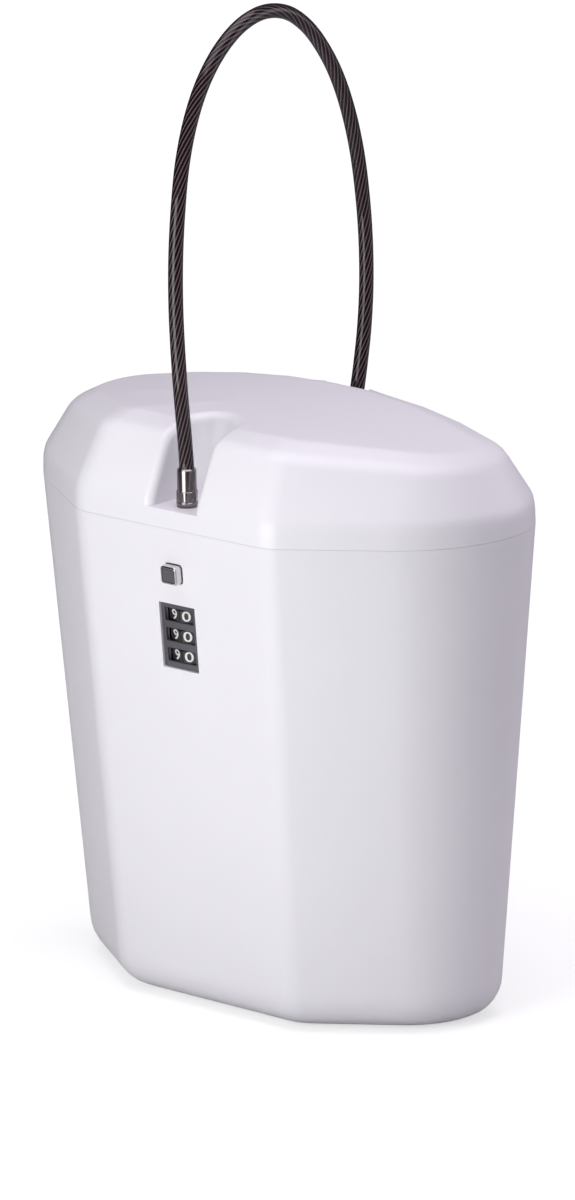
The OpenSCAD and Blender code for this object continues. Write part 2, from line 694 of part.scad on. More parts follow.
// Cable route in the middle plane: depth behind the plug's axis, height above the ferrules
route = [[0, 0], [-0.5, 8], [-2, 24], [-3.2, 40], [-3.8, 56], [-3.4, 72], [-1.8, 88], [1, 104],
    [5.8, 118], [12.5, 129.5], [21.5, 138.8], [32, 145], [43.5, 147.4], [55, 145.4], [64.8, 139.5],
    [73, 131], [80.4, 120], [86.4, 106.6], [90.8, 91.5], [93.4, 76], [94.8, 60], [94.8, 44],
    [93.4, 29.5], [91, 16.5], [88.9, 7], [88, 0]];
route_span = 88;
cable_sides = 10;
last = len(route) - 1;
function route_at(i) = [plug_back + route[i][0] * (anchor_y - plug_back) / route_span,
    floor_z + ferrule_h + route[i][1]];
function lean(i) = i == 0 ? [0, 1] : i == last ? [0, -1]
    : let (d = route_at(i + 1) - route_at(i - 1)) d / norm(d);
function cable_ring(i) = let (t = lean(i)) [for (s = [0 : cable_sides - 1])
    let (a = 360 * s / cable_sides, c = cable_d / 2 * cos(a), e = cable_d / 2 * sin(a))
    [c, route_at(i)[0] + e * t[1], route_at(i)[1] - e * t[0]]];
module cable() color("#3b3232") shifted() loft([for (i = [0 : last]) cable_ring(i)]);

body_shell();
lock_housing();
housing_screws();
dial_plate();
dial_axle();
click_spring();
dial_wheel_1();
dial_wheel_2();
dial_wheel_3();
gate_cup_1();
gate_cup_2();
gate_cup_3();
button_cap();
lock_bolt();
fence_comb();
button_spring();
hinge_base();
hinge_pin();
base_screws();
hinge_leaf();
leaf_screws();
lid_shell();
lid_liner();
liner_screws();
lid_seal();
plug_bush();
plug_pin();
plug_ferrule();
rear_ferrule();
rear_rivet();
cable();
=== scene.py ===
"""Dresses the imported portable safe: white moulded case and lid, wire rope loop and dial lock."""

import math

import bmesh
import bpy
from mathutils import Matrix, Vector


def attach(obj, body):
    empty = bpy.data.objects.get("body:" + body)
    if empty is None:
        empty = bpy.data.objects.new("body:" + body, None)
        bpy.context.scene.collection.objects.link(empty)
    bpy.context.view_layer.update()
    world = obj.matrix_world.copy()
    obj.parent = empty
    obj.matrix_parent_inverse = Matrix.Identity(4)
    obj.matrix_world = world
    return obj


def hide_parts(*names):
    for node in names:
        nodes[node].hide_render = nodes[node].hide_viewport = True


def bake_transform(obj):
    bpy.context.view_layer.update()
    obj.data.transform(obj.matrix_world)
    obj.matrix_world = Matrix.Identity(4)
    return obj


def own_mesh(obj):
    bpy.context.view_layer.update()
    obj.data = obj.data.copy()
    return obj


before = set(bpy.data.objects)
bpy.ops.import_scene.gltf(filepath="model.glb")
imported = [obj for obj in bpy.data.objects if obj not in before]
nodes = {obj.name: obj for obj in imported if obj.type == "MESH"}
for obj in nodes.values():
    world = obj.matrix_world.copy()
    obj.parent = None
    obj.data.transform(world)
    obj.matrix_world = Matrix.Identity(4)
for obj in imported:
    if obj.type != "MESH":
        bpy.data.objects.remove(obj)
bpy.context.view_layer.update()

# Main sizes, in metres, as in the part's source
MM = 0.001
SEAM = 173 * MM
MID_DEPTH = 53.385 * MM
NOTCH_FLOOR = 6.4 * MM
NOTCH_HALF = 9.5 * MM
DRAFT = math.radians(4.5)
BUTTON_DROP = 15.4 * MM
PLATE_DROP = 22.8 * MM
DIAL_PITCH = 7.2 * MM
DIAL_DEPTH = 9.6 * MM
DIAL_FLAT = 8.8 * MM * math.cos(math.radians(18))
PEG_RISE = -0.65 * MM
BUTTON_WIDE = 7.0 * MM
BUTTON_TALL = 6.4 * MM
BUTTON_OUT = 3.1 * MM
PLUG_DEPTH = 8.6 * MM
ANCHOR_DEPTH = 96.6 * MM
FERRULE_TOP = SEAM + 19.6 * MM
ROPE_D = 5 * MM

lock_place = (
    Matrix.Translation((0, BUTTON_DROP * math.tan(DRAFT) - MID_DEPTH, SEAM - BUTTON_DROP))
    @ Matrix.Rotation(DRAFT, 4, "X")
)


# Selection and finishing steps that every piece uses
MERGE_REACH = 0.004 * MM


def select_only(piece):
    if bpy.context.mode != "OBJECT":
        bpy.ops.object.mode_set(mode="OBJECT")
    bpy.ops.object.select_all(action="DESELECT")
    piece.select_set(True)
    bpy.context.view_layer.objects.active = piece


def merged_copy(node, name, flatness=0.4):
    piece = bpy.data.objects.new(name, nodes[node].data.copy())
    bpy.context.scene.collection.objects.link(piece)
    piece.data.materials.clear()
    select_only(piece)
    bpy.ops.mesh.customdata_custom_splitnormals_clear()
    bpy.ops.object.mode_set(mode="EDIT")
    bpy.ops.mesh.select_all(action="SELECT")
    bpy.ops.mesh.remove_doubles(threshold=MERGE_REACH)
    bpy.ops.mesh.dissolve_limited(angle_limit=math.radians(flatness))
    bpy.ops.object.mode_set(mode="OBJECT")
    return piece


def apply_modifiers(piece):
    select_only(piece)
    for modifier in list(piece.modifiers):
        bpy.ops.object.modifier_apply(modifier=modifier.name)


def round_all_edges(piece, width, segments=2, angle=35):
    bevel = piece.modifiers.new("round_edges", "BEVEL")
    bevel.width = width
    bevel.segments = segments
    bevel.limit_method = "ANGLE"
    bevel.angle_limit = math.radians(angle)
    bevel.use_clamp_overlap = True
    bevel.harden_normals = False
    apply_modifiers(piece)


def round_chosen_edges(piece, choose, width, segments, clamp):
    mesh = bmesh.new()
    mesh.from_mesh(piece.data)
    weights = mesh.edges.layers.float.get("bevel_weight_edge")
    if weights is None:
        weights = mesh.edges.layers.float.new("bevel_weight_edge")
    for edge in mesh.edges:
        edge[weights] = 1 if len(edge.link_faces) == 2 and choose(edge) else 0
    mesh.to_mesh(piece.data)
    mesh.free()
    bevel = piece.modifiers.new("round_chosen_edges", "BEVEL")
    bevel.width = width
    bevel.segments = segments
    bevel.limit_method = "WEIGHT"
    bevel.use_clamp_overlap = clamp
    apply_modifiers(piece)


def smooth(piece, angle=30):
    select_only(piece)
    bpy.ops.object.shade_smooth_by_angle(angle=math.radians(angle))


def even_shading(piece):
    weigh = piece.modifiers.new("even_shading", "WEIGHTED_NORMAL")
    weigh.keep_sharp = True
    apply_modifiers(piece)


def settle(piece, body, slot, material, *stands_for):
    piece.data.materials.clear()
    piece.data.materials.append(material)
    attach(piece, body)
    if stands_for:
        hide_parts(*stands_for)
    return piece


# Shader node groups for effects that several finishes share
def make_group(name, inputs, outputs):
    group = bpy.data.node_groups.new(name, "ShaderNodeTree")
    for label, kind, value in inputs:
        socket = group.interface.new_socket(label, in_out="INPUT", socket_type=kind)
        socket.default_value = value
    for label, kind in outputs:
        group.interface.new_socket(label, in_out="OUTPUT", socket_type=kind)
    entry = group.nodes.new("NodeGroupInput")
    leave = group.nodes.new("NodeGroupOutput")
    return group, entry, leave


def add_node(tree, kind, **values):
    node = tree.nodes.new(kind)
    for key, value in values.items():
        setattr(node, key, value)
    return node


FLOAT = "NodeSocketFloat"
COLOUR = "NodeSocketColor"
GRAIN_ROUGHNESS = 0.12
GRAIN_DEPTH = 0.05 * MM
PATCH_SCALE = 22.0
MARK_ROUGHNESS = 0.2
MARK_DEPTH = 0.03 * MM
MARK_STRETCH = (1, 1, 8)


def moulded_grain_group():
    group, entry, leave = make_group(
        "moulded_grain",
        [
            ("Colour", COLOUR, (0.8, 0.8, 0.8, 1)),
            ("Shade", COLOUR, (0.7, 0.7, 0.7, 1)),
            ("Grain scale", FLOAT, 2500.0),
            ("Patch scale", FLOAT, 25.0),
            ("Smoothness", FLOAT, 0.4),
        ],
        [("Colour", COLOUR), ("Roughness", FLOAT), ("Height", FLOAT)],
    )
    place = add_node(group, "ShaderNodeTexCoord")
    grain = add_node(group, "ShaderNodeTexNoise")
    grain.inputs["Detail"].default_value = 3
    patch = add_node(group, "ShaderNodeTexNoise")
    patch.inputs["Detail"].default_value = 2
    mix = add_node(group, "ShaderNodeMix", data_type="RGBA")
    spread = add_node(group, "ShaderNodeMapRange")
    spread.inputs["From Min"].default_value = 0.3
    spread.inputs["From Max"].default_value = 0.7
    rough = add_node(group, "ShaderNodeMath", operation="MULTIPLY_ADD")
    rough.inputs[1].default_value = GRAIN_ROUGHNESS
    link = group.links.new
    link(place.outputs["Object"], grain.inputs["Vector"])
    link(place.outputs["Object"], patch.inputs["Vector"])
    link(entry.outputs["Grain scale"], grain.inputs["Scale"])
    link(entry.outputs["Patch scale"], patch.inputs["Scale"])
    link(patch.outputs["Fac"], spread.inputs["Value"])
    link(spread.outputs["Result"], mix.inputs["Factor"])
    link(entry.outputs["Colour"], mix.inputs["A"])
    link(entry.outputs["Shade"], mix.inputs["B"])
    link(grain.outputs["Fac"], rough.inputs[0])
    link(entry.outputs["Smoothness"], rough.inputs[2])
    link(mix.outputs["Result"], leave.inputs["Colour"])
    link(rough.outputs["Value"], leave.inputs["Roughness"])
    link(grain.outputs["Fac"], leave.inputs["Height"])
    return group


def tool_marks_group():
    group, entry, leave = make_group(
        "tool_marks",
        [
            ("Colour", COLOUR, (0.6, 0.6, 0.6, 1)),
            ("Shade", COLOUR, (0.4, 0.4, 0.4, 1)),
            ("Mark scale", FLOAT, 900.0),
            ("Smoothness", FLOAT, 0.25),
        ],
        [("Colour", COLOUR), ("Roughness", FLOAT), ("Height", FLOAT)],
    )
    place = add_node(group, "ShaderNodeTexCoord")
    stretch = add_node(group, "ShaderNodeMapping")
    stretch.inputs["Scale"].default_value = MARK_STRETCH
    marks = add_node(group, "ShaderNodeTexNoise")
    marks.inputs["Detail"].default_value = 4
    mix = add_node(group, "ShaderNodeMix", data_type="RGBA")
    rough = add_node(group, "ShaderNodeMath", operation="MULTIPLY_ADD")
    rough.inputs[1].default_value = MARK_ROUGHNESS
    link = group.links.new
    link(place.outputs["Object"], stretch.inputs["Vector"])
    link(stretch.outputs["Vector"], marks.inputs["Vector"])
    link(entry.outputs["Mark scale"], marks.inputs["Scale"])
    link(marks.outputs["Fac"], mix.inputs["Factor"])
    link(entry.outputs["Colour"], mix.inputs["A"])
    link(entry.outputs["Shade"], mix.inputs["B"])
    link(marks.outputs["Fac"], rough.inputs[0])
    link(entry.outputs["Smoothness"], rough.inputs[2])
    link(mix.outputs["Result"], leave.inputs["Colour"])
    link(rough.outputs["Value"], leave.inputs["Roughness"])
    link(marks.outputs["Fac"], leave.inputs["Height"])
    return group


moulded_grain = moulded_grain_group()
tool_marks = tool_marks_group()


def finish_material(name, group, values, bump, bump_depth, **plain):
    material = bpy.data.materials.new(name)
    material.use_nodes = True
    tree = material.node_tree
    shader = tree.nodes["Principled BSDF"]
    effect = add_node(tree, "ShaderNodeGroup", node_tree=group)
    for key, value in values.items():
        effect.inputs[key].default_value = value
    relief = add_node(tree, "ShaderNodeBump")
    relief.inputs["Strength"].default_value = bump
    relief.inputs["Distance"].default_value = bump_depth
    tree.links.new(effect.outputs["Colour"], shader.inputs["Base Color"])
    tree.links.new(effect.outputs["Roughness"], shader.inputs["Roughness"])
    tree.links.new(effect.outputs["Height"], relief.inputs["Height"])
    tree.links.new(relief.outputs["Normal"], shader.inputs["Normal"])
    for key, value in plain.items():
        shader.inputs[key.replace("_", " ")].default_value = value
    return material


def plastic(name, colour, shade, smoothness, grain=2500.0, bump=0.05, **plain):
    values = {
        "Colour": (*colour, 1),
        "Shade": (*shade, 1),
        "Grain scale": grain,
        "Patch scale": PATCH_SCALE,
        "Smoothness": smoothness,
    }
    return finish_material(name, moulded_grain, values, bump, GRAIN_DEPTH, **plain)


def metal(name, colour, shade, smoothness, marks=900.0, bump=0.08, **plain):
    values = {
        "Colour": (*colour, 1),
        "Shade": (*shade, 1),
        "Mark scale": marks,
        "Smoothness": smoothness,
    }
    return finish_material(name, tool_marks, values, bump, MARK_DEPTH, Metallic=1.0, **plain)


case_white = plastic(
    "case_white", (0.86, 0.848, 0.885), (0.85, 0.835, 0.875), 0.38, Coat_Weight=0.15, Coat_Roughness=0.3
)
panel_grey = plastic("panel_grey", (0.62, 0.61, 0.64), (0.58, 0.57, 0.6), 0.5)
# Black rubber for the lid seal; the button's sunk ring also takes this black as painted shade
seal_and_painted_shade_black = plastic("seal_and_painted_shade_black", (0.025, 0.025, 0.028), (0.035, 0.035, 0.037), 0.6)
hinge_paint = plastic("hinge_paint", (0.8, 0.79, 0.82), (0.77, 0.76, 0.79), 0.35, grain=1600.0)
dial_black = plastic("dial_black", (0.016, 0.016, 0.019), (0.028, 0.028, 0.032), 0.35)
number_white = plastic("number_white", (0.82, 0.81, 0.78), (0.74, 0.73, 0.71), 0.4)
casting_grey = metal("casting_grey", (0.2, 0.2, 0.21), (0.15, 0.15, 0.16), 0.4)
plate_gunmetal = plastic(
    "plate_gunmetal", (0.14, 0.13, 0.15), (0.045, 0.042, 0.052), 0.3, grain=900.0, bump=0.2
)
turned_steel = metal("turned_steel", (0.62, 0.62, 0.63), (0.5, 0.5, 0.51), 0.22)
cup_brass = metal("cup_brass", (0.7, 0.5, 0.22), (0.6, 0.42, 0.17), 0.25)
bright_nickel = metal("bright_nickel", (0.72, 0.7, 0.7), (0.6, 0.58, 0.58), 0.08, bump=0.03)
dark_nickel = metal("dark_nickel", (0.27, 0.24, 0.245), (0.18, 0.16, 0.165), 0.07, bump=0.05)
button_grey = metal("button_grey", (0.3, 0.29, 0.32), (0.22, 0.21, 0.24), 0.2, marks=1800.0)


# Wire rope: a round smoke coloured coat with the twisted strands showing through
STRANDS = 12
LAY = 45 * MM
ROPE_SIDES = 32
ROPE_STEP = 1.5 * MM
CURVE_STEPS = 24
GROOVE_COLOUR = (0.004, 0.0015, 0.0025, 1)
STRAND_COLOUR = (0.165, 0.115, 0.125, 1)
COAT_EDGE_COLOUR = (0.012, 0.01, 0.011, 1)
STRAND_DEPTH = 0.06 * MM
HALF_STRAND = 0.5

# The route's points are mm behind the plug and above its ferrule, as in the part's source
ROUTE = [
    (0, 0), (-0.5, 8), (-2, 24), (-3.2, 40), (-3.8, 56), (-3.4, 72), (-1.8, 88), (1, 104),
    (5.8, 118), (12.5, 129.5), (21.5, 138.8), (32, 145), (43.5, 147.4), (55, 145.4), (64.8, 139.5),
    (73, 131), (80.4, 120), (86.4, 106.6), (90.8, 91.5), (93.4, 76), (94.8, 60), (94.8, 44),
    (93.4, 29.5), (91, 16.5), (88.9, 7), (88, 0),
]


def rope_line():
    points = [
        Vector((0, PLUG_DEPTH + v * MM - MID_DEPTH, FERRULE_TOP + z * MM)) for v, z in reversed(ROUTE)
    ]
    leans = [Vector((0, 0, 1))]
    for before, after in zip(points, points[2:]):
        leans.append((after - before).normalized())
    leans.append(Vector((0, 0, -1)))
    fine = []
    for k in range(len(points) - 1):
        span = (points[k + 1] - points[k]).length
        for step in range(CURVE_STEPS):
            t = step / CURVE_STEPS
            fine.append(
                points[k] * (2 * t**3 - 3 * t**2 + 1)
                + leans[k] * span * (t**3 - 2 * t**2 + t)
                + points[k + 1] * (3 * t**2 - 2 * t**3)
                + leans[k + 1] * span * (t**3 - t**2)
            )
    fine.append(points[-1])
    reach = [0.0]
    for a, b in zip(fine, fine[1:]):
        reach.append(reach[-1] + (b - a).length)
    count = round(reach[-1] / ROPE_STEP)
    line = []
    k = 0
    for n in range(count + 1):
        want = reach[-1] * n / count
        while k < len(fine) - 2 and reach[k + 1] < want:
            k += 1
        share = (want - reach[k]) / (reach[k + 1] - reach[k])
        line.append(fine[k].lerp(fine[k + 1], min(max(share, 0), 1)))
    return line, reach[-1]


def make_rope():
    line, length = rope_line()
    across = Vector((1, 0, 0))
    radius = ROPE_D / 2
    last = len(line) - 1
    points = []
    for n, centre in enumerate(line):
        along = line[min(n + 1, last)] - line[max(n - 1, 0)]
        out = along.normalized().cross(across)
        for side in range(ROPE_SIDES):
            angle = 2 * math.pi * side / ROPE_SIDES
            spoke = across * (radius * math.cos(angle)) + out * (radius * math.sin(angle))
            points.append(centre + spoke)
    faces = []
    chart_points = []
    for n in range(last):
        low = n * ROPE_SIDES
        high = low + ROPE_SIDES
        for side in range(ROPE_SIDES):
            other = (side + 1) % ROPE_SIDES
            faces.append((low + side, low + other, high + other, high + side))
            chart_points += [(side, n), (side + 1, n), (side + 1, n + 1), (side, n + 1)]
    faces.append(tuple(reversed(range(ROPE_SIDES))))
    faces.append(tuple(range(last * ROPE_SIDES, (last + 1) * ROPE_SIDES)))
    chart_points += [(0, 0)] * (2 * ROPE_SIDES)
    mesh = bpy.data.meshes.new("wire_rope")
    mesh.from_pydata(points, [], faces)
    chart = mesh.uv_layers.new(name="strand_chart")
    for loop, (side, n) in zip(chart.data, chart_points):
        turns = length * n / last / LAY
        loop.uv = ((side / ROPE_SIDES - turns) * STRANDS, turns)
    rope = bpy.data.objects.new("wire_rope", mesh)
    bpy.context.scene.collection.objects.link(rope)
    return rope, line, length


def rope_material():
    material = bpy.data.materials.new("coated_strands")
    material.use_nodes = True
    tree = material.node_tree
    shader = tree.nodes["Principled BSDF"]
    chart = add_node(tree, "ShaderNodeUVMap", uv_map="strand_chart")
    split = add_node(tree, "ShaderNodeSeparateXYZ")
    crest = add_node(tree, "ShaderNodeMath", operation="PINGPONG")
    crest.inputs[1].default_value = HALF_STRAND
    groove = add_node(tree, "ShaderNodeMapRange", interpolation_type="SMOOTHSTEP")
    groove.inputs["From Min"].default_value = 0.25
    groove.inputs["From Max"].default_value = 0.04
    strands = add_node(tree, "ShaderNodeMix", data_type="RGBA")
    strands.inputs["A"].default_value = GROOVE_COLOUR
    strands.inputs["B"].default_value = STRAND_COLOUR
    facing = add_node(tree, "ShaderNodeLayerWeight")
    rim = add_node(tree, "ShaderNodeMapRange", interpolation_type="SMOOTHSTEP")
    rim.inputs["From Min"].default_value = 0.35
    rim.inputs["From Max"].default_value = 0.7
    coat = add_node(tree, "ShaderNodeMix", data_type="RGBA")
    coat.inputs["B"].default_value = COAT_EDGE_COLOUR
    relief = add_node(tree, "ShaderNodeBump")
    relief.inputs["Strength"].default_value = 0.35
    relief.inputs["Distance"].default_value = STRAND_DEPTH
    link = tree.links.new
    link(chart.outputs["UV"], split.inputs["Vector"])
    link(split.outputs["X"], crest.inputs[0])
    link(crest.outputs["Value"], groove.inputs["Value"])
    link(groove.outputs["Result"], strands.inputs["Factor"])
    link(facing.outputs["Facing"], rim.inputs["Value"])
    link(rim.outputs["Result"], coat.inputs["Factor"])
    link(strands.outputs["Result"], coat.inputs["A"])
    link(coat.outputs["Result"], shader.inputs["Base Color"])
    link(crest.outputs["Value"], relief.inputs["Height"])
    link(relief.outputs["Normal"], shader.inputs["Normal"])
    shader.inputs["Roughness"].default_value = 0.3
    shader.inputs["Specular IOR Level"].default_value = 0.08
    shader.inputs["Coat Weight"].default_value = 0.45
    shader.inputs["Coat Roughness"].default_value = 0.03
    return material


rope, rope_path, rope_length = make_rope()
rope.data.materials.append(rope_material())
smooth(rope, 60)


# Crimped ferrules on both ends of the rope: radius and height of each ring, in mm
FERRULE_RINGS = [
    (3.0, 0.0), (3.45, 0.25), (3.65, 0.8), (3.7, 1.1), (3.7, 1.5), (3.4, 1.75), (3.4, 2.0), (3.7, 2.25),
    (3.7, 5.0), (3.6, 5.3), (3.3, 5.5), (3.28, 6.2), (3.28, 12.2), (3.2, 12.7), (2.9, 13.0),
    (2.75, 13.16),
]
FERRULE_SIDES = 48
CRIMP_LOW = 2.1
CRIMP_HIGH = 5.2
CRIMP_WIDTH = 1.06
HALF_FLAT = math.pi / 6


def turned_piece(name, centre, profile, sides):
    first_r, first_z = profile[0]
    bpy.ops.object.select_all(action="DESELECT")
    bpy.ops.mesh.primitive_circle_add(
        vertices=sides, radius=first_r, fill_type="NGON", location=(centre[0], centre[1], first_z)
    )
    piece = bpy.context.object
    piece.name = name
    piece.data.name = name
    bpy.ops.object.transform_apply(location=True, rotation=True, scale=True)
    bpy.ops.object.mode_set(mode="EDIT")
    bpy.ops.mesh.select_all(action="SELECT")
    old_r, old_z = first_r, first_z
    for r, z in profile[1:]:
        bpy.ops.mesh.extrude_region_move(TRANSFORM_OT_translate={"value": (0, 0, z - old_z)})
        grow = r / old_r
        bpy.ops.transform.resize(value=(grow, grow, 1), center_override=(centre[0], centre[1], z))
        old_r, old_z = r, z
    bpy.ops.mesh.select_all(action="SELECT")
    bpy.ops.mesh.normals_make_consistent(inside=False)
    bpy.ops.object.mode_set(mode="OBJECT")
    return piece


def make_ferrule(name, depth):
    base = SEAM + NOTCH_FLOOR
    profile = [(r * MM, base + z * MM) for r, z in FERRULE_RINGS]
    centre = (0, depth - MID_DEPTH)
    piece = turned_piece(name, centre, profile, FERRULE_SIDES)
    for vertex in piece.data.vertices:
        height = (vertex.co.z - base) / MM
        if CRIMP_LOW < height < CRIMP_HIGH:
            angle = math.atan2(vertex.co.y - centre[1], vertex.co.x) % (2 * HALF_FLAT) - HALF_FLAT
            shrink = math.cos(HALF_FLAT) / math.cos(angle) * CRIMP_WIDTH
            vertex.co.x *= min(shrink, 1)
            vertex.co.y = centre[1] + (vertex.co.y - centre[1]) * min(shrink, 1)
    smooth(piece, 28)
    return piece


plug_sleeve = make_ferrule("plug_sleeve", PLUG_DEPTH)
rear_sleeve = make_ferrule("rear_sleeve", ANCHOR_DEPTH)
settle(plug_sleeve, "plug", "chrome", dark_nickel, "plug_ferrule")
settle(rear_sleeve, "lid", "chrome", dark_nickel, "rear_ferrule")

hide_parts("cable")
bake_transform(rope)


# Case and lid, with a fine seam and soft lips round the notches
EDGE_ROUND = 0.3 * MM
LIP_ROUND = 3 * MM
REAR_LIP_ROUND = 1.2 * MM
SEAM_GAP = 0.4 * MM
FINE_SEAM = 0.08 * MM
SEAM_REACH = 0.02 * MM
SHARP_ANGLE = 40
FLAT_ANGLE = math.radians(3)
SHELL_SMOOTH = 28
FLOOR_MARGIN = 0.005 * MM
LIP_MARGIN = 0.2 * MM
LIP_SPACING = 1.0 * MM


def sharp_edge(edge):
    return math.degrees(edge.calc_face_angle(0)) > SHARP_ANGLE


def by_notch(edge, margin):
    middle = (edge.verts[0].co + edge.verts[1].co) / 2
    above_floor = middle.z > SEAM + NOTCH_FLOOR + FLOOR_MARGIN
    return above_floor and abs(middle.x) < NOTCH_HALF + margin


def notch_lip(edge):
    return by_notch(edge, LIP_MARGIN) and edge.is_convex and sharp_edge(edge)


def front_lip(edge):
    return edge.verts[0].co.y < 0 and notch_lip(edge)


def rear_lip(edge):
    return edge.verts[0].co.y > 0 and notch_lip(edge)


def plain_edge(edge):
    return sharp_edge(edge) and not by_notch(edge, 2 * LIP_ROUND)


# Flat edges at the lips go, and points too close together for the rounding are joined
def clear_way(piece, choose, reach):
    mesh = bmesh.new()
    mesh.from_mesh(piece.data)
    points = {point for edge in mesh.edges if choose(edge) for point in edge.verts}
    flat = []
    for edge in mesh.edges:
        if points & set(edge.verts) and edge.calc_face_angle(math.pi) < FLAT_ANGLE:
            flat.append(edge)
    bmesh.ops.dissolve_edges(mesh, edges=flat)
    points = {point for edge in mesh.edges if choose(edge) for point in edge.verts}
    kept = []
    joins = {}
    for point in sorted(points, key=lambda point: (point.co.z, point.co.x, point.co.y)):
        near = [other for other in kept if (other.co - point.co).length < reach]
        if near:
            joins[point] = near[0]
        else:
            kept.append(point)
    bmesh.ops.weld_verts(mesh, targetmap=joins)
    mesh.to_mesh(piece.data)
    mesh.free()


case_shell = merged_copy("body_shell", "case_shell")
round_chosen_edges(case_shell, sharp_edge, EDGE_ROUND, 2, True)
smooth(case_shell, SHELL_SMOOTH)
even_shading(case_shell)
settle(case_shell, "body", "shell", case_white, "body_shell")

lid_cover = merged_copy("lid_shell", "lid_cover", 1)
for vertex in lid_cover.data.vertices:
    if abs(vertex.co.z - SEAM - SEAM_GAP) < SEAM_REACH:
        vertex.co.z = SEAM + FINE_SEAM
clear_way(lid_cover, notch_lip, LIP_SPACING)
round_chosen_edges(lid_cover, front_lip, LIP_ROUND, 6, False)
round_chosen_edges(lid_cover, rear_lip, REAR_LIP_ROUND, 4, False)
round_chosen_edges(lid_cover, plain_edge, EDGE_ROUND, 2, True)
smooth(lid_cover, SHELL_SMOOTH)
even_shading(lid_cover)
settle(lid_cover, "lid", "shell", case_white, "lid_shell")


# Push button: a bright cap with a sunk ring round its inset face, the ring painted black as painted
# shade in its groove
BUTTON_CORNER = 1.2 * MM
BUTTON_ROUND = 0.6 * MM
RING_INSET = 0.7 * MM
RING_WIDTH = 0.38 * MM
RING_SINK = 0.1 * MM
RING_MARGIN = 0.05 * MM
FACE_MIDDLE = 1 * MM


def select_parts(piece, kind, wanted):
    bpy.ops.mesh.select_mode(type=kind)
    bpy.ops.mesh.select_all(action="DESELECT")
    mesh = bmesh.from_edit_mesh(piece.data)
    for part in mesh.edges if kind == "EDGE" else mesh.faces:
        if wanted(part):
            part.select_set(True)
    bmesh.update_edit_mesh(piece.data)


def corner_edge(edge):
    return abs(edge.verts[0].co.y - edge.verts[1].co.y) > BUTTON_OUT / 2


def front_face(face):
    return face.normal.y < -0.9


def make_button():
    bpy.ops.object.select_all(action="DESELECT")
    bpy.ops.mesh.primitive_cube_add(size=1, location=(0, -BUTTON_OUT / 2, 0))
    piece = bpy.context.object
    piece.name = "button_key"
    piece.data.name = "button_key"
    piece.scale = (BUTTON_WIDE, BUTTON_OUT, BUTTON_TALL)
    bpy.ops.object.transform_apply(location=True, rotation=True, scale=True)
    bpy.ops.object.mode_set(mode="EDIT")
    select_parts(piece, "EDGE", corner_edge)
    bpy.ops.mesh.bevel(offset=BUTTON_CORNER, segments=6, affect="EDGES")
    select_parts(piece, "FACE", front_face)
    bpy.ops.mesh.inset(thickness=RING_INSET)
    bpy.ops.mesh.inset(thickness=RING_WIDTH, depth=-RING_SINK)
    bpy.ops.object.mode_set(mode="OBJECT")
    round_all_edges(piece, BUTTON_ROUND, 5, 50)
    piece.data.transform(lock_place)
    smooth(piece, 40)
    even_shading(piece)
    return piece


button_key = make_button()
settle(button_key, "button", "chrome", bright_nickel, "button_cap")
button_key.data.materials.append(button_grey)
# Third finish: black on the sunk ring, painted shade in the groove round the face
button_key.data.materials.append(seal_and_painted_shade_black)
outward = lock_place.to_3x3() @ Vector((0, -1, 0))
for polygon in button_key.data.polygons:
    centre = lock_place.inverted() @ polygon.center
    side = max(abs(centre.x) - (BUTTON_WIDE / 2 - BUTTON_CORNER), 0)
    rise = max(abs(centre.z) - (BUTTON_TALL / 2 - BUTTON_CORNER), 0)
    inside = math.hypot(side, rise) < BUTTON_CORNER - RING_INSET - RING_MARGIN
    if inside and polygon.normal.dot(outward) > 0.8:
        # Faces of the sunk ring take the black painted shade; the middle of the face takes the dark
        # grey metal
        polygon.material_index = 2 if max(abs(centre.x), abs(centre.z)) > FACE_MIDDLE else 1


# Dials with a number on each of their ten flats
DIGITS = 10
DIGIT_STEP = 36
DIGIT_SIZE = 5.0 * MM
DIGIT_THICK = 0.04 * MM
DIGIT_BOLD = 0.04 * MM
DIGIT_LIFT = 0.02 * MM
DIGIT_WIDEN = 1.4
DIAL_ROUND = 0.1 * MM


def make_number(digit, place):
    bpy.ops.object.select_all(action="DESELECT")
    bpy.ops.object.text_add(location=(0, 0, 0))
    piece = bpy.context.object
    piece.data.body = str(digit)
    piece.data.size = DIGIT_SIZE
    piece.data.align_x = "CENTER"
    piece.data.align_y = "CENTER"
    piece.data.extrude = DIGIT_THICK
    piece.data.offset = DIGIT_BOLD
    bpy.ops.object.convert(target="MESH")
    piece = bpy.context.object
    piece.data.transform(place)
    return piece


def make_dial(number):
    height = -PLATE_DROP + (2 - number) * DIAL_PITCH
    wheel = merged_copy("dial_wheel_%d" % number, "dial_ring_%d" % number)
    round_all_edges(wheel, DIAL_ROUND, 2, 30)
    smooth(wheel, 25)
    settle(wheel, "dial_%d" % number, "dial", dial_black, "dial_wheel_%d" % number)
    digits = []
    for step in range(DIGITS):
        turn = math.radians(DIGIT_STEP * step + DIGIT_STEP / 2)
        place = (
            lock_place
            @ Matrix.Translation((0, DIAL_DEPTH, height))
            @ Matrix.Rotation(turn, 4, "Z")
            @ Matrix.Translation((0, -DIAL_FLAT - DIGIT_LIFT, 0))
            @ Matrix.Rotation(math.radians(90), 4, "X")
            @ Matrix.Scale(DIGIT_WIDEN, 4, (1, 0, 0))
        )
        digits.append(make_number(step, place))
    bpy.ops.object.select_all(action="DESELECT")
    for piece in digits:
        piece.select_set(True)
    bpy.context.view_layer.objects.active = digits[0]
    bpy.ops.object.join()
    digits[0].name = "dial_numbers_%d" % number
    digits[0].data.name = "dial_numbers_%d" % number
    settle(digits[0], "dial_%d" % number, "dial", number_white)


for number in (1, 2, 3):
    make_dial(number)


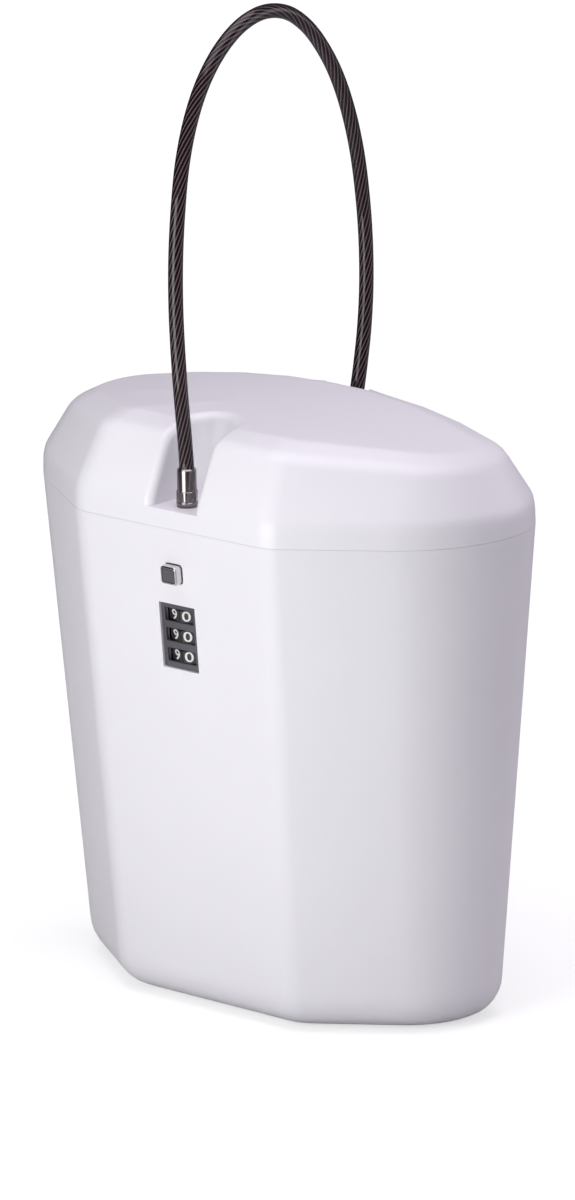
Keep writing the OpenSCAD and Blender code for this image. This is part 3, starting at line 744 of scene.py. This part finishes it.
# Remaining nodes keep their shape, with rounded edges and their own finish
PANEL_ROUND = 0.3 * MM
PLATE_ROUND = 0.25 * MM
SHAFT_ROUND = 0.2 * MM
SCREW_ROUND = 0.15 * MM
BOLT_ROUND = 0.12 * MM
FINE_ROUND = 0.1 * MM
PEG_LOWER = 0.2 * MM
PEG_REACH = 0.15 * MM


def dress(node, name, body, slot, material, rounding):
    piece = merged_copy(node, name)
    if rounding:
        round_all_edges(piece, rounding)
    smooth(piece, 30)
    even_shading(piece)
    return settle(piece, body, slot, material, node)


dress("dial_plate", "dial_frame", "body", "plate", plate_gunmetal, PLATE_ROUND)
dress("lock_housing", "lock_cover", "body", "zinc", casting_grey, PLATE_ROUND)
dress("housing_screws", "cover_screws", "body", "steel", turned_steel, SCREW_ROUND)
dress("dial_axle", "dial_shaft", "body", "steel", turned_steel, SHAFT_ROUND)
dress("click_spring", "click_leaf", "body", "steel", turned_steel, 0)
button_coil = dress("button_spring", "button_coil", "body", "steel", turned_steel, 0)
dress("hinge_base", "case_leaf", "body", "hinge", hinge_paint, PLATE_ROUND)
dress("hinge_pin", "hinge_rod", "body", "steel", turned_steel, SHAFT_ROUND)
dress("base_screws", "case_leaf_screws", "body", "steel", turned_steel, SCREW_ROUND)
dress("hinge_leaf", "lid_leaf", "lid", "hinge", hinge_paint, PLATE_ROUND)
dress("leaf_screws", "lid_leaf_screws", "lid", "steel", turned_steel, SCREW_ROUND)
dress("lid_liner", "lid_panel", "lid", "inner", panel_grey, PANEL_ROUND)
dress("liner_screws", "panel_screws", "lid", "steel", turned_steel, SCREW_ROUND)
dress("lid_seal", "lip_seal", "lid", "seal", seal_and_painted_shade_black, PANEL_ROUND)
dress("plug_bush", "guide_bush", "lid", "steel", turned_steel, FINE_ROUND)
dress("rear_rivet", "anchor_rivet", "lid", "steel", turned_steel, FINE_ROUND)
plug_peg = dress("plug_pin", "plug_peg", "plug", "steel", turned_steel, FINE_ROUND)
dress("lock_bolt", "lock_slider", "button", "steel", turned_steel, BOLT_ROUND)
lock_comb = dress("fence_comb", "lock_comb", "button", "steel", turned_steel, BOLT_ROUND)
for number in (1, 2, 3):
    cup = "gate_cup_%d" % number
    dress(cup, "gate_ring_%d" % number, "dial_%d" % number, "brass", cup_brass, FINE_ROUND)

# The comb's pegs stop just short of the cups above them
lock_view = lock_place.inverted()
lower = lock_place.to_3x3() @ Vector((0, 0, -PEG_LOWER))
for number in (1, 2, 3):
    peg_top = -PLATE_DROP + (2 - number) * DIAL_PITCH + PEG_RISE
    for vertex in lock_comb.data.vertices:
        if abs((lock_view @ vertex.co).z - peg_top) < PEG_REACH:
            vertex.co += lower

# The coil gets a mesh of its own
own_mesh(button_coil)


# Floor: its glow for the camera grows with the distance from the object
FLOOR_SIZE = 8
FLOOR_DROP = 0.1 * MM
FLOOR_COLOUR = (0.6, 0.6, 0.6, 1)
GLOW_FAR = 0.94
GLOW_DIP = 0.36
GLOW_REACH = 0.96


def floor_material():
    material = bpy.data.materials.new("pale_floor")
    material.use_nodes = True
    tree = material.node_tree
    tree.nodes.clear()
    diffuse = add_node(tree, "ShaderNodeBsdfDiffuse")
    diffuse.inputs["Color"].default_value = FLOOR_COLOUR
    place = add_node(tree, "ShaderNodeTexCoord")
    spread = add_node(tree, "ShaderNodeVectorMath", operation="DOT_PRODUCT")
    reach = add_node(tree, "ShaderNodeMath", operation="MULTIPLY_ADD")
    reach.inputs[1].default_value = GLOW_REACH
    reach.inputs[2].default_value = 1
    fall = add_node(tree, "ShaderNodeMath", operation="POWER")
    fall.inputs[1].default_value = -2
    fill = add_node(tree, "ShaderNodeMath", operation="MULTIPLY_ADD")
    fill.inputs[1].default_value = -GLOW_DIP
    fill.inputs[2].default_value = GLOW_FAR
    glow = add_node(tree, "ShaderNodeEmission")
    both = add_node(tree, "ShaderNodeAddShader")
    rays = add_node(tree, "ShaderNodeLightPath")
    choose = add_node(tree, "ShaderNodeMixShader")
    leave = add_node(tree, "ShaderNodeOutputMaterial")
    link = tree.links.new
    link(place.outputs["Object"], spread.inputs[0])
    link(place.outputs["Object"], spread.inputs[1])
    link(spread.outputs["Value"], reach.inputs[0])
    link(reach.outputs["Value"], fall.inputs[0])
    link(fall.outputs["Value"], fill.inputs[0])
    link(fill.outputs["Value"], glow.inputs["Strength"])
    link(diffuse.outputs["BSDF"], both.inputs[0])
    link(glow.outputs["Emission"], both.inputs[1])
    link(rays.outputs["Is Camera Ray"], choose.inputs["Fac"])
    link(diffuse.outputs["BSDF"], choose.inputs[1])
    link(both.outputs["Shader"], choose.inputs[2])
    link(choose.outputs["Shader"], leave.inputs["Surface"])
    return material


bpy.ops.object.select_all(action="DESELECT")
bpy.ops.mesh.primitive_plane_add(size=FLOOR_SIZE, location=(0, 0, -FLOOR_DROP))
floor = bpy.context.object
floor.name = "floor"
floor.data.materials.append(floor_material())

# World: dark on the left and lighter to the right, and white for the camera
SKY_COLOUR = (1.0, 0.925, 1.075, 1)
SKY_LEFT = 0
SKY_RIGHT = 0.28
world = bpy.data.worlds.new("studio")
bpy.context.scene.world = world
world.use_nodes = True
sky = world.node_tree
sky.nodes.clear()
ambient = add_node(sky, "ShaderNodeBackground")
ambient.inputs["Color"].default_value = SKY_COLOUR
sky_place = add_node(sky, "ShaderNodeTexCoord")
sky_way = add_node(sky, "ShaderNodeSeparateXYZ")
sky_side = add_node(sky, "ShaderNodeMapRange")
sky_side.inputs["From Min"].default_value = -1
sky_side.inputs["From Max"].default_value = 1
sky_side.inputs["To Min"].default_value = SKY_LEFT
sky_side.inputs["To Max"].default_value = SKY_RIGHT
backdrop = add_node(sky, "ShaderNodeBackground")
backdrop.inputs["Color"].default_value = (1, 1, 1, 1)
backdrop.inputs["Strength"].default_value = 1.0
sky_rays = add_node(sky, "ShaderNodeLightPath")
sky_mix = add_node(sky, "ShaderNodeMixShader")
sky_out = add_node(sky, "ShaderNodeOutputWorld")
sky.links.new(sky_place.outputs["Generated"], sky_way.inputs["Vector"])
sky.links.new(sky_way.outputs["X"], sky_side.inputs["Value"])
sky.links.new(sky_side.outputs["Result"], ambient.inputs["Strength"])
sky.links.new(sky_rays.outputs["Is Camera Ray"], sky_mix.inputs["Fac"])
sky.links.new(ambient.outputs["Background"], sky_mix.inputs[1])
sky.links.new(backdrop.outputs["Background"], sky_mix.inputs[2])
sky.links.new(sky_mix.outputs["Shader"], sky_out.inputs["Surface"])

# Lamps: each is set by its direction and distance from the middle of the case
COOL = (0.985, 1, 0.985)
LAVENDER = (1, 0.965, 1.03)
middle = Vector((0, 0, 120 * MM))


def add_lamp(name, colour, azimuth, elevation, distance, size, power):
    a = math.radians(azimuth)
    e = math.radians(elevation)
    way = Vector((math.sin(a) * math.cos(e), -math.cos(a) * math.cos(e), math.sin(e)))
    bpy.ops.object.select_all(action="DESELECT")
    bpy.ops.object.light_add(type="AREA", location=middle + way * distance)
    lamp = bpy.context.object
    lamp.name = name
    lamp.data.shape = "SQUARE"
    lamp.data.size = size
    lamp.data.energy = power
    lamp.data.color = colour
    lamp.rotation_mode = "QUATERNION"
    lamp.rotation_quaternion = (-way).to_track_quat("-Z", "Y")


add_lamp("front_softbox", COOL, azimuth=4, elevation=7.5, distance=0.43, size=0.24, power=1.09)
add_lamp("top_softbox", LAVENDER, azimuth=0, elevation=88, distance=0.9, size=0.9, power=6.6)
add_lamp("rear_right_fill", LAVENDER, azimuth=135, elevation=15, distance=1.2, size=0.7, power=3.1)

# Camera at the photograph's angle
AZIMUTH = math.radians(40.45)
ELEVATION = math.radians(15.78)
ROLL = math.radians(-0.93)
CAMERA_DISTANCE = 2.7
AIM_RIGHT = 38.9 * MM
AIM_DOWN = 23.43 * MM
SENSOR_WIDTH = 36
LENS = 243
back = Vector(
    (
        math.sin(AZIMUTH) * math.cos(ELEVATION),
        -math.cos(AZIMUTH) * math.cos(ELEVATION),
        math.sin(ELEVATION),
    )
)
level = Vector((math.cos(AZIMUTH), math.sin(AZIMUTH), 0))
upright = back.cross(level)
right = level * math.cos(ROLL) + upright * math.sin(ROLL)
up = upright * math.cos(ROLL) - level * math.sin(ROLL)
aim = Vector((0, -MID_DEPTH, SEAM)) + right * AIM_RIGHT - up * AIM_DOWN
spot = aim + back * CAMERA_DISTANCE
bpy.ops.object.camera_add(location=spot)
camera = bpy.context.object
camera.matrix_world = Matrix.Translation(spot) @ Matrix((right, up, back)).transposed().to_4x4()
camera.data.sensor_width = SENSOR_WIDTH
camera.data.lens = LENS
camera.data.clip_start = 0.1
camera.data.clip_end = 50
bpy.context.scene.camera = camera
bpy.context.scene.view_settings.view_transform = "Standard"
